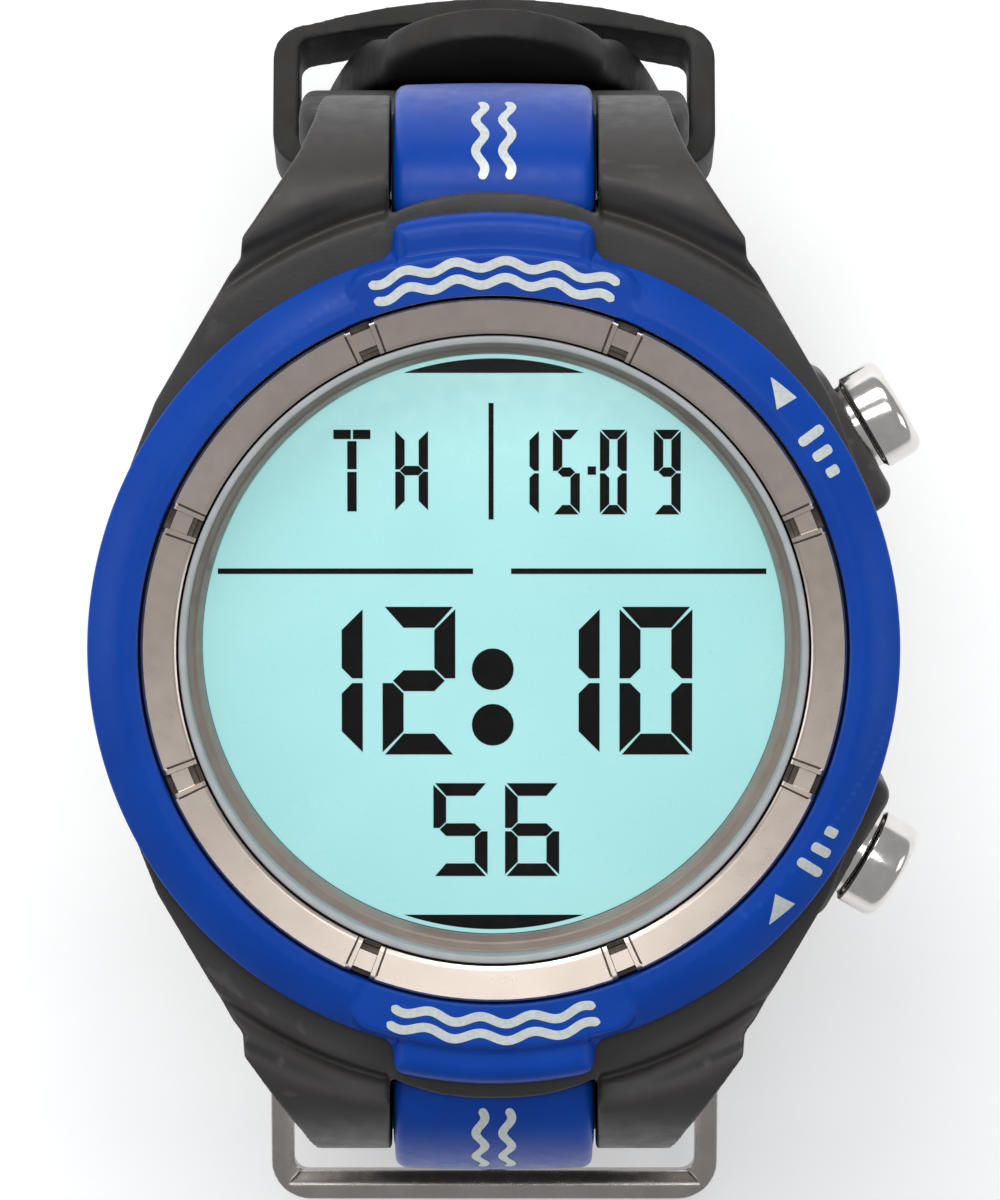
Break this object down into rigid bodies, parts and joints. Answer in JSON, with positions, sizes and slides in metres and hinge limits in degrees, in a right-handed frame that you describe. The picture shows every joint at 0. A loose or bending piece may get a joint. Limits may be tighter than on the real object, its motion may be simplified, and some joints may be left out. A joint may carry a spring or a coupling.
{
  "type": "wrist dive computer",
  "caption": "Round wrist dive computer: screw-built case with lit segment display, raised bezel, side push buttons, and a rubber strap closed by a pin buckle and keepers.",
  "frame": {"origin": "on the surface that the closed strap stands on, under the middle of the display, at the fixed keeper's flat outer face", "axes": "+Z out of the display, +Y towards 12 o'clock, +X towards the buttons"},
  "size_m": [0.0496, 0.0787, 0.062],
  "materials": {
    "case": "fine matte moulded polymer",
    "bezel_blue": "satin moulded blue",
    "trim_metal": "brushed warm gunmetal",
    "steel": "brushed stainless",
    "polished_steel": "polished stainless",
    "buckle_metal": "tumbled gunmetal",
    "glass": "flat clear mineral glass",
    "gasket_grey": "satin grey elastomer",
    "surround": "satin brown-grey paint",
    "display": "lit pale cyan display",
    "board_green": "solder mask",
    "chip_black": "matte black",
    "white_plastic": "satin white",
    "strap_rubber": "matte soft polymer",
    "black_rubber": "matte black rubber"
  },
  "bodies": {
    "head": {"case_body": "case", "bezel_ring": "bezel_blue", "trim_ring": "trim_metal", "lens": "glass", "lens_gasket": "gasket_grey", "display_surround": "surround", "lcd_panel": "display", "lcd_backlight": "white_plastic", "lcd_connector_upper": "gasket_grey", "lcd_connector_lower": "gasket_grey", "circuit_board": "board_green", "microcontroller": "chip_black", "quartz_crystal": "steel", "pressure_sensor": "steel", "buzzer": "chip_black", "inner_frame": "white_plastic", "battery": "steel", "battery_contact": "steel", "case_back": "steel", "case_back_gasket": "black_rubber", "spring_bar_upper": "steel", "case_back_screw_1": "steel", "case_back_screw_2": "steel", "case_back_screw_3": "steel", "case_back_screw_4": "steel", "button_upper_oring": "black_rubber", "button_upper_spring": "steel", "button_lower_oring": "black_rubber", "button_lower_spring": "steel"},
    "button_upper": {"button_upper_cap": "polished_steel", "button_upper_stem": "steel", "button_upper_clip": "steel"},
    "button_lower": {"button_lower_cap": "polished_steel", "button_lower_stem": "steel", "button_lower_clip": "steel"},
    "battery_cap": {"battery_cap": "steel", "battery_cap_oring": "black_rubber"},
    "strap_loop": {"strap_upper": "strap_rubber", "strap_lower": "strap_rubber", "strap_insert_upper": "bezel_blue", "strap_insert_lower": "bezel_blue", "keeper_fixed": "strap_rubber", "buckle_bar": "steel", "spring_bar_lower": "steel"},
    "buckle_frame": {"buckle_frame": "buckle_metal"},
    "buckle_tongue": {"buckle_tongue": "buckle_metal"},
    "keeper_floating": {"keeper_floating": "strap_rubber"}
  },
  "joints": [
    {"name": "button_upper_press", "type": "slide", "parent": "head", "child": "button_upper", "axis": [-0.8625, -0.506, 0], "range_m": [0, 0.0009], "stiffness_N_per_m": 2500, "springref_m": -0.0005, "deforming": ["button_upper_spring"]},
    {"name": "button_lower_press", "type": "slide", "parent": "head", "child": "button_lower", "axis": [-0.8625, 0.506, 0], "range_m": [0, 0.0009], "stiffness_N_per_m": 2500, "springref_m": -0.0005, "deforming": ["button_lower_spring"]},
    {"name": "battery_cap_turn", "type": "hinge", "parent": "head", "child": "battery_cap", "pos_m": [0, 0, 0.047], "axis": [0, 0, -1], "range_deg": [0, 60]},
    {"name": "strap_loop_swing", "type": "hinge", "parent": "head", "child": "strap_loop", "pos_m": [0, 0.0263, 0.0514], "axis": [1, 0, 0], "range_deg": [0, 25]},
    {"name": "buckle_frame_tilt", "type": "hinge", "parent": "strap_loop", "child": "buckle_frame", "pos_m": [0, -0.0248, 0.011], "axis": [1, 0, 0], "range_deg": [-4, 4]},
    {"name": "buckle_tongue_tilt", "type": "hinge", "parent": "buckle_frame", "child": "buckle_tongue", "pos_m": [0, -0.0248, 0.011], "axis": [1, 0, 0], "range_deg": [0, 6]},
    {"name": "keeper_floating_slide", "type": "hinge", "parent": "strap_loop", "child": "keeper_floating", "pos_m": [0, 0.0092, 0.028], "axis": [1, 0, 0], "range_deg": [-15, 3]}
  ]
}
